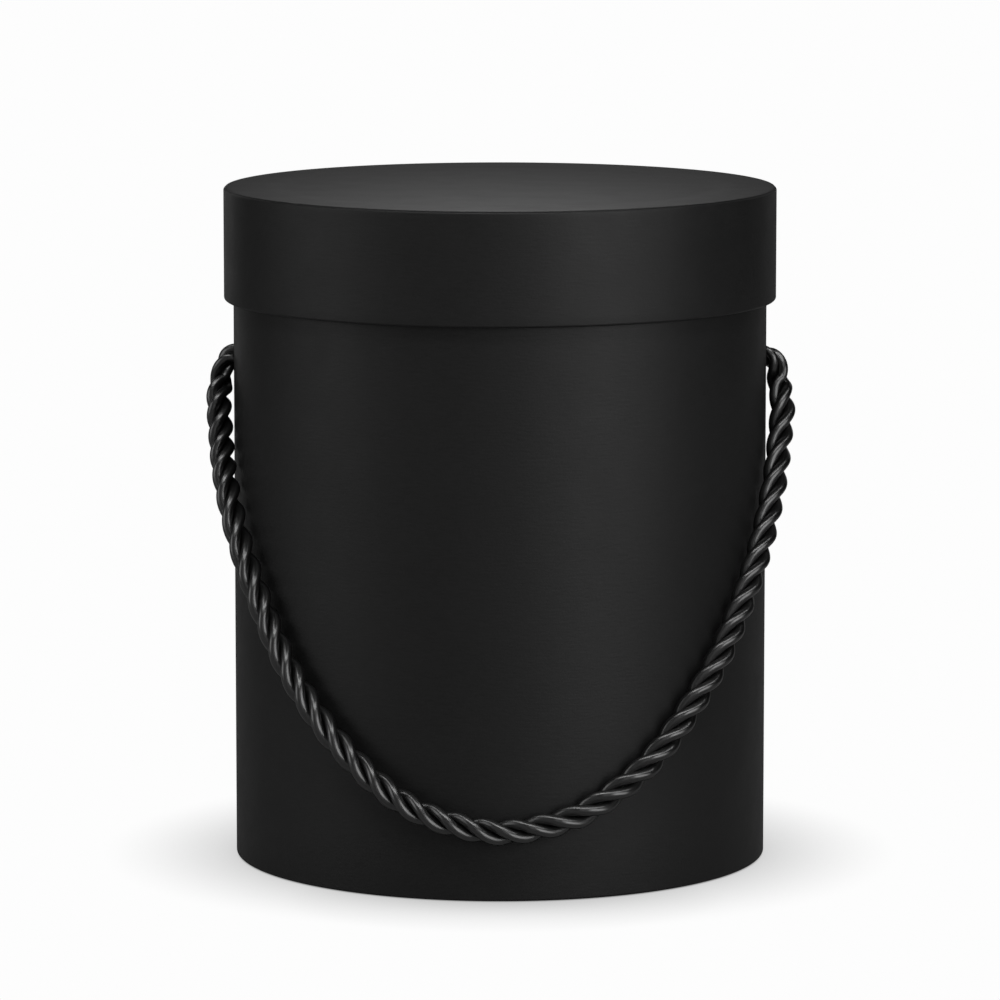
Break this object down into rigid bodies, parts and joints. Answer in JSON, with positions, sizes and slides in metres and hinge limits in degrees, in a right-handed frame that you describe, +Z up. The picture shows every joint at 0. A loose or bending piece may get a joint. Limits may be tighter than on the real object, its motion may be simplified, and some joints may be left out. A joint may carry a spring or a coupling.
{
  "type": "round flower box",
  "caption": "Round covered-board flower box with a telescoping lid and a twisted rope handle that hangs in front from a punched hole on each side.",
  "frame": {"origin": "centre of the box's foot, on the surface it stands on", "axes": "+Z up along the box's axis, -Y towards the front where the rope hangs, +X to the right as seen from the front"},
  "size_m": [0.221, 0.2141, 0.2527],
  "materials": {
    "greyboard": "bare pressed greyboard, hidden under the papers",
    "cover_paper": "matte black uncoated cover paper with a very fine horizontal grain",
    "lining_paper": "matte black uncoated lining paper",
    "rope": "glossy black rayon, three strands twisted right-handed"
  },
  "bodies": {
    "box": {"base_board": "greyboard", "side_board": "greyboard", "side_wrap": "cover_paper", "base_cover": "cover_paper", "side_liner": "lining_paper", "base_liner": "lining_paper"},
    "lid": {"lid_rim_board": "greyboard", "lid_top_board": "greyboard", "lid_rim_wrap": "cover_paper", "lid_top_cover": "cover_paper", "lid_rim_liner": "lining_paper", "lid_top_liner": "lining_paper"},
    "handle": {"rope_handle": "rope", "left_knot": "rope", "right_knot": "rope"}
  },
  "joints": [
    {"name": "lid_lift", "type": "slide", "parent": "box", "child": "lid", "axis": [0, 0, 1], "range_m": [0, 0.12]},
    {"name": "handle_swing", "type": "hinge", "parent": "box", "child": "handle", "pos_m": [0, 0, 0.189], "axis": [-1, 0, 0], "range_deg": [0, 90]}
  ]
}
